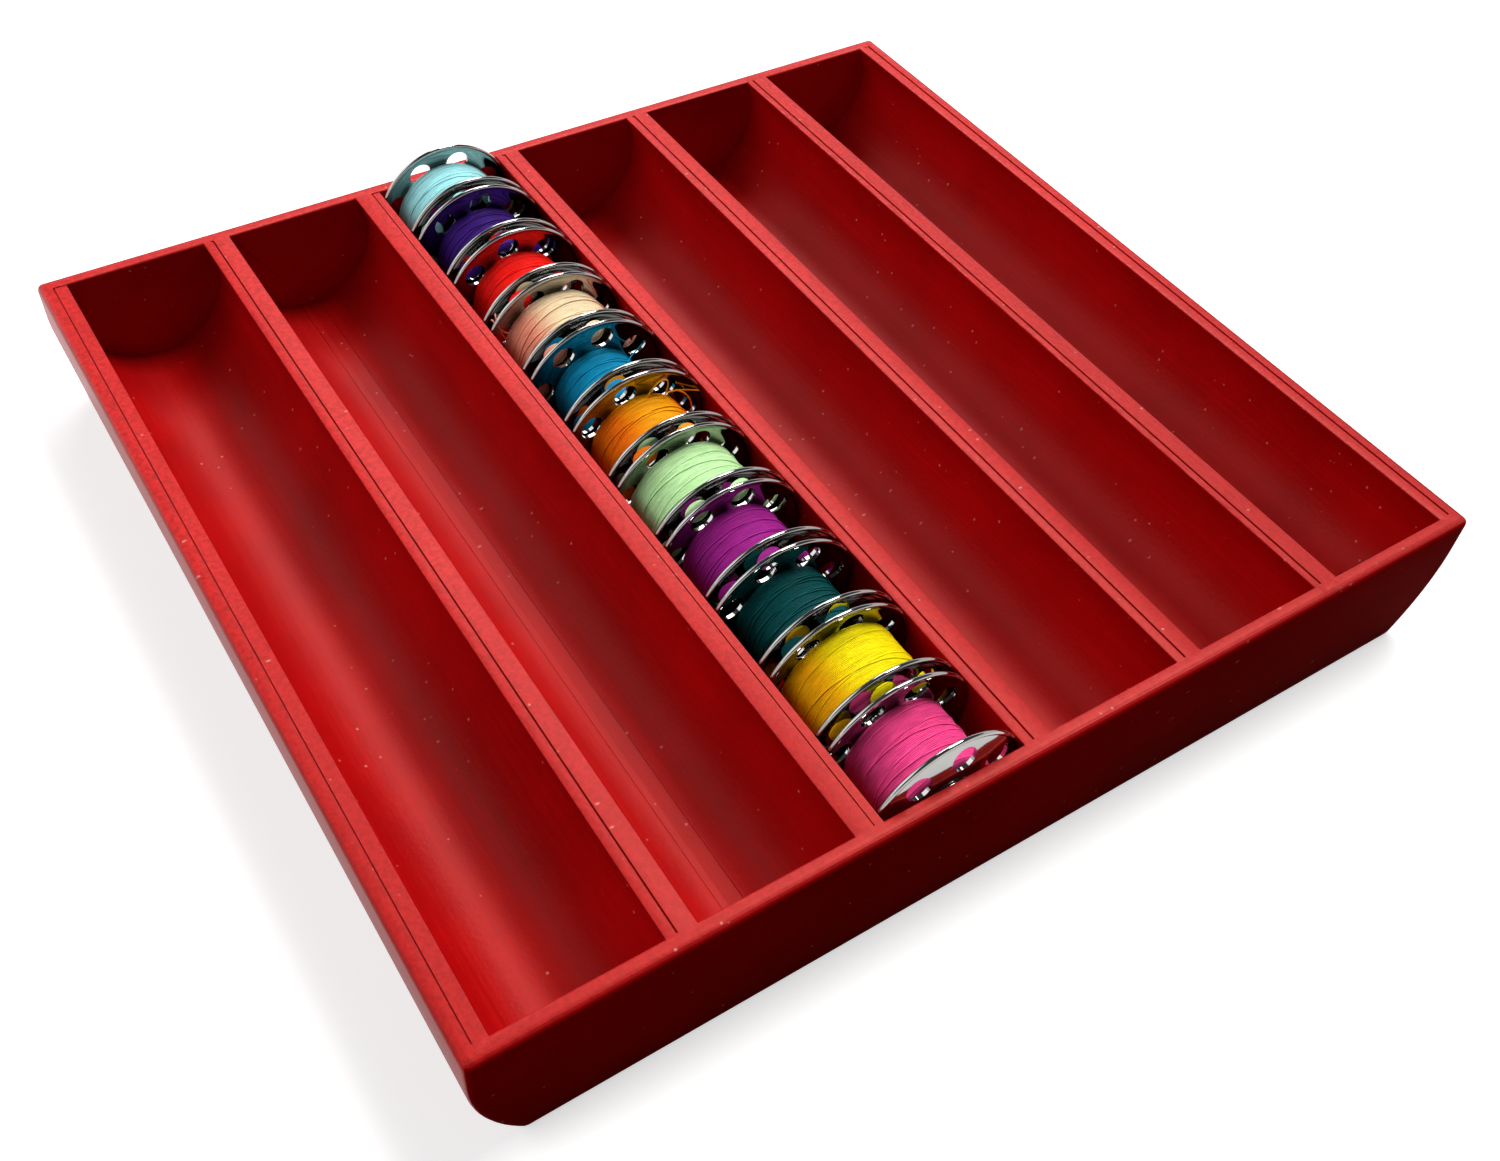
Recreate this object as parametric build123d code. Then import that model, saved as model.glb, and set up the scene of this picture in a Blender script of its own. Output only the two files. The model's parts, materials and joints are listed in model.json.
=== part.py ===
from build123d import *
import math
import os

# Bobbin holder: a soft moulded tray with six round troughs, and one trough filled with wound metal bobbins.
# The frame is in millimetres. +Z is up, the troughs run along Y, and the front end wall faces -Y.
# The origin is on the surface that the tray stands on, under the middle of the tray.

# Driving dimensions of a bobbin
flange_diameter = 20.3
flange_thickness = 0.45
flange_rim_bead = 0.6  # diameter of the rolled bead round the rim
width_over_rims = 9.35
dome_rise = 0.575  # how far a flange stands further out at its hub than at its rim
bore_diameter = 6.1
core_wall = 0.45
core_lip_width = 0.7  # how far the core's rolled end lies over the flange
core_lip_thickness = 0.25
core_fit = 0.02  # clearance of the core in the flanges' middle holes
hub_margin = 0.8  # flat ring of a flange outside the core's rolled end
hole_count = 8
hole_hub_margin = 0.8  # between the flat ring and the round holes
hole_rim_margin = 0.55  # between the round holes and the bead

# Driving dimensions of the winding
thread_side_gap = 0.1  # between the winding and a flange
thread_core_gap = 0.02  # between the winding and the core tube
thread_wire = 0.34  # the strand of the outer layer, as thick as a few threads side by side
thread_wire_gap = 0.42  # between its neighbouring turns
thread_seat = 0.02  # between the outer layer and the winding under it

# Each bobbin, from the back to the front: the depth of its winding below the flanges' rims, and how far its back and
# its front flange are turned
bobbins = [
    (2.75, 26, 12),
    (3.55, 40, 5),
    (3.65, 5, 31),
    (2.65, 20, 38),
    (4.45, 34, 15),
    (3.55, 12, 35),
    (2.75, 27, 30),
    (3.65, 32, 8),
    (4.05, 18, 41),
    (2.65, 33, 9),
    (3.75, 27, 36),
]

# Driving dimensions of the row of bobbins
hub_gap = 0.1  # between neighbouring bobbins
front_gap = 0.15  # between the row and the front end wall
back_gap = 0.5  # between the row and the back end wall

# Driving dimensions of the tray
trough_count = 6
filled_trough = 3  # counted from the left
bobbin_clearance = 0.12  # between a flange and the trough's round wall
divider_waist = 1.26  # the dividers where they are thinnest
axis_below_rim = 4.9  # the troughs' and the bobbins' axis, under the tray's rim
floor_thickness = 3.83  # under the lowest line of a trough
side_wall = 3.55  # at the rim, beside the outermost troughs
end_wall = 2.0
base_inset = 5.0  # how far the sides curve in between the troughs' axis and the base
corner_radius = 0.8  # upright corners
base_edge_radius = 0.8
rim_edge_radius = 0.3
seam_width = 0.16
seam_depth = 0.22

# Seams in the rim: the wall that each one runs along, counted from the left side wall, and how far it lies to the
# right of that wall's middle
seams = [
    (0, 0.0),
    (1, -0.47),
    (2, 0.67),
    (3, -0.42),
    (4, -0.43),
    (5, -0.67),
    (6, 0.0),
]

# Worked out from the driving dimensions
flange_radius = flange_diameter / 2
bead_middle = flange_radius - flange_rim_bead / 2
core_radius = bore_diameter / 2 + core_wall
hub_radius = core_radius + core_lip_width + hub_margin
hole_inside = hub_radius + hole_hub_margin
hole_diameter = flange_radius - flange_rim_bead - hole_rim_margin - hole_inside
hole_ring_radius = hole_inside + hole_diameter / 2
rim_middle = width_over_rims / 2 - flange_rim_bead / 2  # middle of the bead, from the bobbin's middle
hub_middle = rim_middle + dome_rise  # middle of the sheet at the hub
hub_face = hub_middle + flange_thickness / 2
bobbin_half = hub_face + core_lip_thickness
bobbin_pitch = 2 * bobbin_half + hub_gap
row_length = len(bobbins) * bobbin_pitch - hub_gap
trough_length = front_gap + row_length + back_gap
trough_radius = flange_radius + bobbin_clearance
trough_pitch = 2 * trough_radius + divider_waist
tray_height = floor_thickness + trough_radius + axis_below_rim
axis_z = tray_height - axis_below_rim
mouth_half = math.sqrt(trough_radius**2 - axis_below_rim**2)
tray_half_x = (trough_count - 1) * trough_pitch / 2 + mouth_half + side_wall
tray_half_y = trough_length / 2 + end_wall


def trough_x(number):
    """Middle of a trough, counted from the left."""
    return (number - (trough_count + 1) / 2) * trough_pitch


def wall_x(number):
    """Middle of a wall at the rim: the left side wall is 0, then come the dividers and the right side wall."""
    if number == 0:
        return side_wall / 2 - tray_half_x
    if number == trough_count:
        return tray_half_x - side_wall / 2
    return (trough_x(number) + trough_x(number + 1)) / 2


def bobbin_y(number):
    """Middle of a bobbin, counted from the back."""
    return front_gap - trough_length / 2 + bobbin_half + (len(bobbins) - number) * bobbin_pitch


def along_y(face, start, length):
    """A solid with a section drawn in X and Z, that runs along +Y from start."""
    return Pos(0, start, 0) * extrude(face, length, dir=(0, 1, 0))


def tray_section():
    """Outer shape of the tray: upright at the rim, curving in under the troughs' axis, with a flat base."""
    curve_radius = (axis_z**2 + base_inset**2) / (2 * base_inset)
    angle = math.atan2(axis_z, curve_radius - base_inset) / 2
    bulge_x = tray_half_x - curve_radius * (1 - math.cos(angle))
    bulge_z = axis_z - curve_radius * math.sin(angle)
    base_x = tray_half_x - base_inset
    with BuildSketch(Plane.XZ) as section:
        with BuildLine():
            Line((-base_x, 0), (base_x, 0))
            ThreePointArc((base_x, 0), (bulge_x, bulge_z), (tray_half_x, axis_z))
            Line((tray_half_x, axis_z), (tray_half_x, tray_height))
            Line((tray_half_x, tray_height), (-tray_half_x, tray_height))
            Line((-tray_half_x, tray_height), (-tray_half_x, axis_z))
            ThreePointArc((-tray_half_x, axis_z), (-bulge_x, bulge_z), (-base_x, 0))
        make_face()
    return section.sketch


def make_tray():
    """The moulded tray: one block with six round troughs cut into it, rounded edges and fine seams in its rim."""
    tray = along_y(tray_section(), -tray_half_y, 2 * tray_half_y)
    upright = [e for e in tray.edges().filter_by(Axis.Z) if abs(e.center().X) > tray_half_x - 0.01]
    tray = fillet(upright, corner_radius)
    base = [e for e in tray.edges().group_by(Axis.Z)[0] if e.length > end_wall]
    tray = fillet(base, base_edge_radius)
    for number in range(1, trough_count + 1):
        middle = Pos(trough_x(number), 0, axis_z) * Rot(90, 0, 0)
        tray -= middle * Cylinder(trough_radius, trough_length)
    tray = fillet(tray.faces().sort_by(Axis.Z)[-1].edges(), rim_edge_radius)
    for number, offset in seams:
        tray -= Pos(wall_x(number) + offset, 0, tray_height) * Box(seam_width, trough_length, 2 * seam_depth)
    return tray


def sheet_arc(offset):
    """The dome of a flange, from its hub to its bead, at an offset outwards from the middle of the sheet."""
    return [
        (hub_radius, hub_middle + offset),
        ((hub_radius + bead_middle) / 2, hub_middle - dome_rise / 4 + offset),
        (bead_middle, rim_middle + offset),
    ]


def make_flange(turned):
    """A flange whose outer face looks along +Y: domed sheet, beaded rim, middle hole and a ring of round holes."""
    half = flange_thickness / 2
    inner = sheet_arc(-half)
    outer = sheet_arc(half)
    middle_hole = core_radius + core_fit
    with BuildSketch(Plane.XY) as section:
        with BuildLine():
            Line((middle_hole, hub_middle - half), inner[0])
            ThreePointArc(*inner)
            Line(inner[2], outer[2])
            ThreePointArc(*reversed(outer))
            Line(outer[0], (middle_hole, hub_middle + half))
            Line((middle_hole, hub_middle + half), (middle_hole, hub_middle - half))
        make_face()
        with Locations((bead_middle, rim_middle)):
            Circle(flange_rim_bead / 2)
    flange = revolve(section.sketch, Axis.Y)
    for number in range(hole_count):
        angle = math.radians(turned + number * 360 / hole_count)
        x = hole_ring_radius * math.cos(angle)
        z = hole_ring_radius * math.sin(angle)
        flange -= Pos(x, hub_middle, z) * Rot(90, 0, 0) * Cylinder(hole_diameter / 2, bobbin_half)
    return flange


def make_core():
    """The core tube, with an end rolled out over each flange's hub."""
    bore = bore_diameter / 2
    lip_radius = core_radius + core_lip_width
    with BuildSketch(Plane.XY) as section:
        with BuildLine():
            Polyline(
                (bore, -bobbin_half),
                (lip_radius, -bobbin_half),
                (lip_radius, -hub_face),
                (core_radius, -hub_face),
                (core_radius, hub_face),
                (lip_radius, hub_face),
                (lip_radius, bobbin_half),
                (bore, bobbin_half),
                close=True,
            )
        make_face()
    return revolve(section.sketch, Axis.Y)


def winding_half(radius):
    """Half the winding's width where it has this radius: it follows the flanges' domes with a gap."""
    share = max(0, (radius - hub_radius) / (bead_middle - hub_radius))
    return hub_middle - dome_rise * share - flange_thickness / 2 - thread_side_gap


def make_winding(radius):
    """The wound thread under its outer layer: a plain ring that fills the space between the flanges."""
    inside = core_radius + thread_core_gap
    with BuildSketch(Plane.XY) as section:
        with BuildLine():
            Polyline(
                (inside, -winding_half(inside)),
                (hub_radius, -winding_half(hub_radius)),
                (radius, -winding_half(radius)),
                (radius, winding_half(radius)),
                (hub_radius, winding_half(hub_radius)),
                (inside, winding_half(inside)),
                close=True,
            )
        make_face()
    return revolve(section.sketch, Axis.Y)


def turn_point(radius, lead, angle):
    """A point of the outer layer's helix about the Y axis, and its direction there."""
    point = Vector(radius * math.cos(angle), lead * angle, radius * math.sin(angle))
    way = Vector(-radius * math.sin(angle), lead, radius * math.cos(angle))
    return point, way.normalized()


def biarc(start, start_way, end, end_way):
    """Two arcs that leave start along start_way, meet smoothly and reach end along end_way."""
    chord = end - start
    ways = start_way + end_way
    a = 2 * (start_way.dot(end_way) - 1)
    b = -2 * chord.dot(ways)
    c = chord.dot(chord)
    reach = (-b - math.sqrt(b * b - 4 * a * c)) / (2 * a)
    middle = (start + end + (start_way - end_way) * reach) * 0.5
    first = Edge.make_tangent_arc(start, start_way, middle)
    second = Edge.make_tangent_arc(middle, first % 1, end)
    return [first, second]


def turns_path(radius, wide):
    """The outer layer's path: even turns about the Y axis, and a straight end at each flange, square to it."""
    spacing = thread_wire + thread_wire_gap
    bend = thread_wire
    run = wide - 2 * bend - 2 * thread_wire
    turns = math.floor(2 * run / spacing) / 2
    lead = run / turns / (2 * math.pi)
    half = math.pi * turns
    corners = [turn_point(radius, lead, -half + math.pi * n) for n in range(int(2 * turns) + 1)]
    edges = []
    for (start, start_way), (end, end_way) in zip(corners, corners[1:]):
        edges += biarc(start, start_way, end, end_way)
    return edges, corners, turns


def make_turns(radius):
    """The outer layer of the winding: one unbroken strand, and its number of turns."""
    helix_radius = radius + thread_seat + thread_wire / 2
    wide = 2 * winding_half(helix_radius)
    edges, corners, turns = turns_path(helix_radius, wide)
    bend = thread_wire
    way = Vector(0, 1, 0)
    start, start_way = corners[0]
    end, end_way = corners[-1]
    before = start - start_way * bend - way * bend
    after = end + end_way * bend + way * bend
    path = [Line(before - way * thread_wire, before), Edge.make_tangent_arc(before, way, start)]
    path += edges
    path += [Edge.make_tangent_arc(end, end_way, after), Line(after, after + way * thread_wire)]
    wire = Wire(path)
    section = Plane(origin=wire @ 0, z_dir=wire % 0) * Circle(thread_wire / 2)
    return sweep(section, wire), wire, turns


def least_gap(wire, turns):
    """Least gap of the strand to itself, measured on points along it that are over half a turn apart."""
    steps = int(turns * 48)
    points = [wire @ (n / steps) for n in range(steps + 1)]
    apart = steps // int(turns * 2)
    least = min(
        (points[i] - points[j]).length for i in range(steps + 1) for j in range(i + apart, steps + 1)
    )
    return least - thread_wire


def facing_front(piece):
    """A copy of a piece that is turned half round about X, so that what faced +Y faces -Y."""
    return Rot(180, 0, 0) * piece


def write(node, piece):
    """Write one node's STEP file."""
    piece.label = node
    export_step(piece, f"parts/{node}.step")


os.makedirs("parts", exist_ok=True)
write("tray", make_tray())

core = make_core()
for number, (depth, back_turned, front_turned) in enumerate(bobbins, 1):
    name = f"bobbin_{number:02d}"
    middle = Pos(trough_x(filled_trough), bobbin_y(number), axis_z)
    winding_radius = flange_radius - depth
    strand, strand_path, strand_turns = make_turns(winding_radius)
    gap = least_gap(strand_path, strand_turns)
    print(f"{name}: {strand_turns} turns in the outer layer, least gap of the strand to itself {gap:.3f} mm")
    write(f"{name}_back_flange", middle * make_flange(back_turned))
    write(f"{name}_front_flange", middle * facing_front(make_flange(-front_turned)))
    write(f"{name}_core", middle * core)
    write(f"{name}_thread", middle * make_winding(winding_radius))
    write(f"{name}_outer_turns", middle * strand)
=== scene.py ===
"""A red rubber bobbin holder with one row of wound metal bobbins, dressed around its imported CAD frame."""

import json
import math

import bpy
from mathutils import Matrix, Vector

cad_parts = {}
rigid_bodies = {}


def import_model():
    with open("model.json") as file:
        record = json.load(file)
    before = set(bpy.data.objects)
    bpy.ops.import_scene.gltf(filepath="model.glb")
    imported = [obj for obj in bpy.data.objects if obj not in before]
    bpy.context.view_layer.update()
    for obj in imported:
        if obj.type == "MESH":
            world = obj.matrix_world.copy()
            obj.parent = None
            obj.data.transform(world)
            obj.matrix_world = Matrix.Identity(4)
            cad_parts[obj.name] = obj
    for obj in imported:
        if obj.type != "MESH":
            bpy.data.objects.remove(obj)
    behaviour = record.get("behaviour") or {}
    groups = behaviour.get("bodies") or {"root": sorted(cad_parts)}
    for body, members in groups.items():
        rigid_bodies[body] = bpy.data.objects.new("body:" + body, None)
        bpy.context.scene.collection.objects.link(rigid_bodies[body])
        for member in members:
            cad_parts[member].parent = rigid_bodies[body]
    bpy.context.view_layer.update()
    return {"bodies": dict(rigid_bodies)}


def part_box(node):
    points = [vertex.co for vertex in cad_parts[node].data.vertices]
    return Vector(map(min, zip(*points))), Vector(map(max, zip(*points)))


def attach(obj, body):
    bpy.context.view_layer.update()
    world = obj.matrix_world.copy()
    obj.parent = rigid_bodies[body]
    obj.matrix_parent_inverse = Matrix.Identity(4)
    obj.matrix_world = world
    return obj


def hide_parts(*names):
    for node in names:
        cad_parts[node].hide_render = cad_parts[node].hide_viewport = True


bl_info = {
    "name": "Bobbin Holder",
    "version": (1, 0, 0),
    "blender": (4, 5, 0),
    "location": "View3D > Sidebar > Bobbin Holder",
    "description": "Models the tray, the wound metal bobbins and the studio around the CAD frame",
    "category": "Object",
}

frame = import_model()
tray_low, tray_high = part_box("tray")
BOBBINS = sorted(name for name in frame["bodies"] if name != "tray")
MM = 0.001
TINY = 0.01 * MM
SHARP = math.radians(50)
CORE_FIT = 0.02 * MM


def bobbin_middle(bobbin):
    """Middle of a bobbin, from the box of its core."""
    low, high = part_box(f"{bobbin}_core")
    return (low + high) / 2


# Sizes and colours. TINY above is how near a point has to lie to count, SHARP the turn of an edge that gets a bevel,
# and CORE_FIT the gap between a core tube and what sits on it.


class TraySizes(bpy.types.PropertyGroup):
    troughs: bpy.props.IntProperty(name="Troughs", description="Number of troughs side by side", default=6, min=1)
    pitch: bpy.props.FloatProperty(
        name="Trough pitch", description="Distance between neighbouring troughs", default=21.8 * MM, unit="LENGTH")
    trough_radius: bpy.props.FloatProperty(
        name="Trough radius", description="Radius of a trough's round wall", default=10.27 * MM, unit="LENGTH")
    axis_depth: bpy.props.FloatProperty(
        name="Axis depth", description="Depth of a trough's axis under the rim", default=4.9 * MM, unit="LENGTH")
    end_wall: bpy.props.FloatProperty(
        name="End wall", description="Thickness of the end walls", default=2.0 * MM, unit="LENGTH")
    base_inset: bpy.props.FloatProperty(
        name="Base inset", description="How far the sides curve in towards the base", default=5.0 * MM, unit="LENGTH")
    rim_edge: bpy.props.FloatProperty(
        name="Rim edge", description="Rounding of the rim's edges", default=0.28 * MM, unit="LENGTH")
    seam_width: bpy.props.FloatProperty(
        name="Seam width", description="Width of the fine seams in the rim", default=0.2 * MM, unit="LENGTH")
    seam_depth: bpy.props.FloatProperty(
        name="Seam depth", description="Depth of the fine seams in the rim", default=0.3 * MM, unit="LENGTH")
    strip_drop: bpy.props.FloatProperty(
        name="Strip drop", description="How far the strip beside a seam lies lower", default=0.12 * MM, unit="LENGTH")
    colour: bpy.props.FloatVectorProperty(
        name="Rubber", description="Colour of the tray's rubber", default=(0.37, 0.001, 0.002), subtype="COLOR",
        min=0, max=1)
    rim_colour: bpy.props.FloatVectorProperty(
        name="Rim", description="Colour of the rubber's paler rim", default=(0.60, 0.018, 0.018), subtype="COLOR",
        min=0, max=1)


class BobbinSizes(bpy.types.PropertyGroup):
    flange_diameter: bpy.props.FloatProperty(
        name="Flange diameter", description="Outer diameter of a flange", default=20.3 * MM, unit="LENGTH")
    sheet: bpy.props.FloatProperty(
        name="Sheet", description="Thickness of the flange's sheet", default=0.45 * MM, unit="LENGTH")
    bead: bpy.props.FloatProperty(
        name="Rim bead", description="Diameter of the rolled bead round the rim", default=0.6 * MM, unit="LENGTH")
    dome: bpy.props.FloatProperty(
        name="Dome", description="How far the hub stands further out than the rim", default=0.575 * MM, unit="LENGTH")
    rim_width: bpy.props.FloatProperty(
        name="Width over rims", description="Width of a bobbin over its rims", default=9.35 * MM, unit="LENGTH")
    hub_radius: bpy.props.FloatProperty(
        name="Hub radius", description="Radius of a flange's flat middle", default=5.0 * MM, unit="LENGTH")
    bore: bpy.props.FloatProperty(
        name="Bore", description="Diameter of the bore", default=6.1 * MM, unit="LENGTH")
    core_wall: bpy.props.FloatProperty(
        name="Core wall", description="Wall of the core tube", default=0.45 * MM, unit="LENGTH")
    lip_width: bpy.props.FloatProperty(
        name="Lip width", description="How far the core's rolled end lies over the flange", default=0.7 * MM,
        unit="LENGTH")
    lip_thickness: bpy.props.FloatProperty(
        name="Lip thickness", description="Thickness of the core's rolled end", default=0.25 * MM, unit="LENGTH")
    holes: bpy.props.IntProperty(name="Holes", description="Round holes in a flange", default=8, min=1)
    hole_diameter: bpy.props.FloatProperty(
        name="Hole diameter", description="Diameter of a round hole", default=3.2 * MM, unit="LENGTH")
    hole_ring: bpy.props.FloatProperty(
        name="Hole ring", description="Radius of the ring of holes", default=7.4 * MM, unit="LENGTH")
    steel: bpy.props.FloatVectorProperty(
        name="Plating", description="Colour of the nickel plating", default=(0.38, 0.38, 0.37), subtype="COLOR",
        min=0, max=1)


class ThreadSizes(bpy.types.PropertyGroup):
    strand: bpy.props.FloatProperty(
        name="Strand", description="Diameter of the thread", default=0.2 * MM, unit="LENGTH")
    spacing: bpy.props.FloatProperty(
        name="Spacing", description="Distance between neighbouring turns", default=0.19 * MM, unit="LENGTH")
    side_gap: bpy.props.FloatProperty(
        name="Side gap", description="Gap between the winding and a flange", default=0.12 * MM, unit="LENGTH")


# Each bobbin from the back: colour of its thread, winding's radius in millimetres, the turn of its back and its front
# flange in degrees, and the pitches in millimetres of the strands that cross its outer layer
WINDINGS = [
    ("pale_cyan", (0.43, 0.88, 0.94), 7.4, 26, 12, (1.9, -2.6)),
    ("indigo", (0.05, 0.010, 0.21), 6.6, 40, 5, (2.4, -1.5, 3.8)),
    ("red", (1.0, 0.010, 0.006), 6.5, 5, 31, (1.7, -2.9)),
    ("peach", (1.0, 0.80, 0.52), 7.5, 20, 38, (3.4, -4.2, 5.6)),
    ("teal_blue", (0.002, 0.29, 0.52), 5.7, 34, 15, (1.6, -2.2)),
    ("orange", (1.0, 0.44, 0.001), 6.6, 12, 35, (2.5, -3.6, 4.4)),
    ("mint", (0.62, 1.0, 0.50), 7.4, 27, 30, (2.8, -3.2)),
    ("purple", (0.40, 0.018, 0.30), 6.5, 32, 8, (1.8, -2.1)),
    ("dark_green", (0.0, 0.075, 0.08), 6.1, 18, 41, (2.2, -1.7, 3.1)),
    ("yellow", (1.0, 0.86, 0.001), 7.5, 33, 9, (3.5, -4.5)),
    ("pink", (0.95, 0.075, 0.31), 6.4, 27, 36, (2.0, -2.7)),
]

# Painted reflected light: some threads' colour low down, redder as if lit by light bounced off the red walls
PAINTED_BOUNCE_COLOURS = {"peach": (1.0, 0.30, 0.20), "orange": (1.0, 0.17, 0.0), "yellow": (1.0, 0.44, 0.0)}

# Each seam in the tray's top from the left: its wall, its distance in millimetres from that wall's middle, and the
# side of it, -1 left or 1 right, that lies a little lower
SEAMS = [(0, 0.0, 1), (1, -0.47, -1), (2, 0.67, 1), (3, -0.42, -1), (4, -0.43, -1), (5, -0.67, -1), (6, 0.0, -1)]

# The strips along the second trough: turn in degrees from straight down to the right, width and depth in millimetres
CREASES = [(turn, width * MM, depth * MM) for turn, width, depth in ((2.5, 1.8, 0.06), (-7.4, 0.12, 0.08))]

# The wall with a rough top, counted from the left like those of the seams
ROUGH_WALL = 5

# How the turns wander: axis, how far in millimetres, and the size of the bends in millimetres
WANDER = [("Y", 0.16, 2.6), ("X", 0.08, 1.6), ("Z", 0.08, 1.9)]

# Loose thread ends: bobbin, then five points in millimetres from its middle
LOOSE_ENDS = [
    ("bobbin_04", [(-6.3, 3.9, 2.0), (-7.7, 4.0, 2.7), (-8.2, 4.0, 5.4), (-8.1, 4.9, 6.7), (-7.8, 5.3, 6.2)]),
    ("bobbin_04", [(-6.1, 3.8, 3.6), (-7.4, 3.9, 3.4), (-8.4, 4.2, 5.2), (-8.5, 4.9, 6.3), (-8.4, 5.3, 5.4)]),
    ("bobbin_05", [(3.2, 1.0, 4.8), (4.4, 3.0, 3.9), (5.5, 4.0, 3.0), (7.2, 4.3, 3.9), (9.1, 4.8, 4.8)]),
    ("bobbin_06", [(3.3, 3.3, 5.9), (3.7, 3.6, 6.6), (5.6, 3.8, 5.7), (7.4, 4.0, 4.8), (9.0, 4.0, 3.9)]),
    ("bobbin_06", [(3.3, 3.3, 5.9), (4.6, 3.9, 7.4), (4.8, 4.0, 8.6), (2.6, 4.0, 8.8), (0.8, 3.4, 6.5)]),
    ("bobbin_06", [(5.2, 3.7, 5.9), (6.8, 3.7, 5.0), (7.9, 3.5, 3.4), (7.3, 3.3, 2.2), (7.6, 3.2, 1.0)]),
]

# The rubber: how fine its textures are, in features per metre, and the colours and gloss of its surface
CLOUDS, MOTTLES, GRIME, DUST, DUST_PATCHES, FLUFF_PATCHES = 55, 1700, 800, 420, 90, 35
MOULD_LINES, FLUFF, STREAKS = (3200, 50, 3200), (190, 330, 260), (2400, 240, 2400)
DUST_COLOUR = (0.75, 0.36, 0.30)
GLOSS_COLOUR = (1.0, 0.26, 0.23, 1)
RUBBER_IOR, END_FACE_IOR = 1.42, 1.01

# The thread: how fine its shades from strand to strand and its fibres are, and how dark its darker strands are
STRANDS, FIBRES, DARK_STRAND = (400, 4200, 400), 5200, 0.74

# The stage, in metres, with the floor as it lights the tray and as the camera sees it
FLOOR_SIZE, WALL_RADIUS, WALL_HEIGHT = 6, 2.9, 1.2
WOOD, PALE, FLOOR_GLOW = (0.16, 0.10, 0.06), (0.6, 0.6, 0.6), 0.62
WARM_WHITE, WHITE = (1.0, 0.97, 0.93), (1, 1, 1)


class StageSettings(bpy.types.PropertyGroup):
    azimuth: bpy.props.FloatProperty(
        name="Azimuth", description="Way the camera looks, turned right from +Y", default=math.radians(36.707),
        subtype="ANGLE")
    elevation: bpy.props.FloatProperty(
        name="Elevation", description="How far the camera looks down", default=math.radians(48.542), subtype="ANGLE")
    roll: bpy.props.FloatProperty(
        name="Roll", description="Turn of the camera about its own view", default=math.radians(5.078),
        subtype="ANGLE")
    place: bpy.props.FloatVectorProperty(
        name="Camera", description="Where the camera stands", default=(-0.083849, -0.120326, 0.150753),
        subtype="TRANSLATION", precision=5)
    lens: bpy.props.FloatProperty(
        name="Lens", description="Focal length on a sensor 36 mm wide", default=37.457, min=1)
    key: bpy.props.FloatProperty(name="Key light", description="Strength of the key light", default=2.6, min=0)
    key_from: bpy.props.FloatVectorProperty(
        name="Key from", description="Where the key light comes from", default=(0.45, 0.14, 0.88), subtype="XYZ")
    key_softness: bpy.props.FloatProperty(
        name="Key softness", description="How wide the key light looks", default=math.radians(20), subtype="ANGLE")
    window: bpy.props.FloatProperty(name="Window", description="Power of the lamp behind", default=5.0, min=0)
    window_from: bpy.props.FloatVectorProperty(
        name="Window from", description="Where the lamp behind stands", default=(0.34, 0.56, 0.76), subtype="XYZ")
    window_size: bpy.props.FloatVectorProperty(
        name="Window size", description="Width and height of the lamp behind", default=(0.55, 0.4), size=2)
    ceiling: bpy.props.FloatProperty(
        name="Ceiling", description="Power of the wide lamp on the left", default=6.0, min=0)
    ceiling_from: bpy.props.FloatVectorProperty(
        name="Ceiling from", description="Where the wide lamp on the left stands", default=(-0.72, 0.38, 0.72),
        subtype="XYZ")
    ceiling_size: bpy.props.FloatVectorProperty(
        name="Ceiling size", description="Width and height of the wide lamp", default=(1.2, 0.8), size=2)
    sky: bpy.props.FloatProperty(
        name="Surroundings", description="Strength of the light all round", default=0.08, min=0)


# Modelling helpers


def start_piece():
    """Leave edit mode and deselect everything, so that the next operator acts on its own primitive alone."""
    if bpy.context.object and bpy.context.object.mode != "OBJECT":
        bpy.ops.object.mode_set(mode="OBJECT")
    bpy.ops.object.select_all(action="DESELECT")


def choose(*pieces):
    """Make these pieces the selection, the first one active."""
    start_piece()
    for piece in pieces:
        piece.select_set(True)
    bpy.context.view_layer.objects.active = pieces[0]


def pick(piece, kind, test):
    """In edit mode, select the vertices, edges or faces whose middle passes the test."""
    choose(piece)
    mesh = piece.data
    for items in (mesh.vertices, mesh.edges, mesh.polygons):
        items.foreach_set("select", [False] * len(items))
    spots = [v.co for v in mesh.vertices]
    if kind == "VERT":
        for v in mesh.vertices:
            v.select = test(v.co)
    elif kind == "EDGE":
        for e in mesh.edges:
            e.select = test((spots[e.vertices[0]] + spots[e.vertices[1]]) / 2)
    else:
        for f in mesh.polygons:
            f.select = test(f.center, f.normal)
    bpy.ops.object.mode_set(mode="EDIT")
    bpy.ops.mesh.select_mode(type=kind)


def apply_modifier(piece, kind, **settings):
    """Add a modifier with these settings and apply it."""
    choose(piece)
    modifier = piece.modifiers.new(kind.title(), kind)
    for name, value in settings.items():
        setattr(modifier, name, value)
    bpy.ops.object.modifier_apply(modifier=modifier.name)


def settle(piece, name):
    """Put a piece's place and turn into its mesh and name it."""
    choose(piece)
    bpy.ops.object.transform_apply(location=True, rotation=True, scale=True)
    piece.name = name
    piece.data.name = name
    return piece


def copy_of(piece):
    """A copy of a piece with its own mesh."""
    choose(piece)
    bpy.ops.object.duplicate()
    return bpy.context.object


def join(pieces):
    """Join pieces into the first one."""
    choose(*pieces)
    bpy.ops.object.join()
    return pieces[0]


def clean(piece, distance=0.001 * MM):
    """Merge doubled vertices and turn all faces outwards."""
    choose(piece)
    bpy.ops.object.mode_set(mode="EDIT")
    bpy.ops.mesh.select_all(action="SELECT")
    bpy.ops.mesh.remove_doubles(threshold=distance)
    bpy.ops.mesh.normals_make_consistent(inside=False)
    bpy.ops.object.mode_set(mode="OBJECT")


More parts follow.
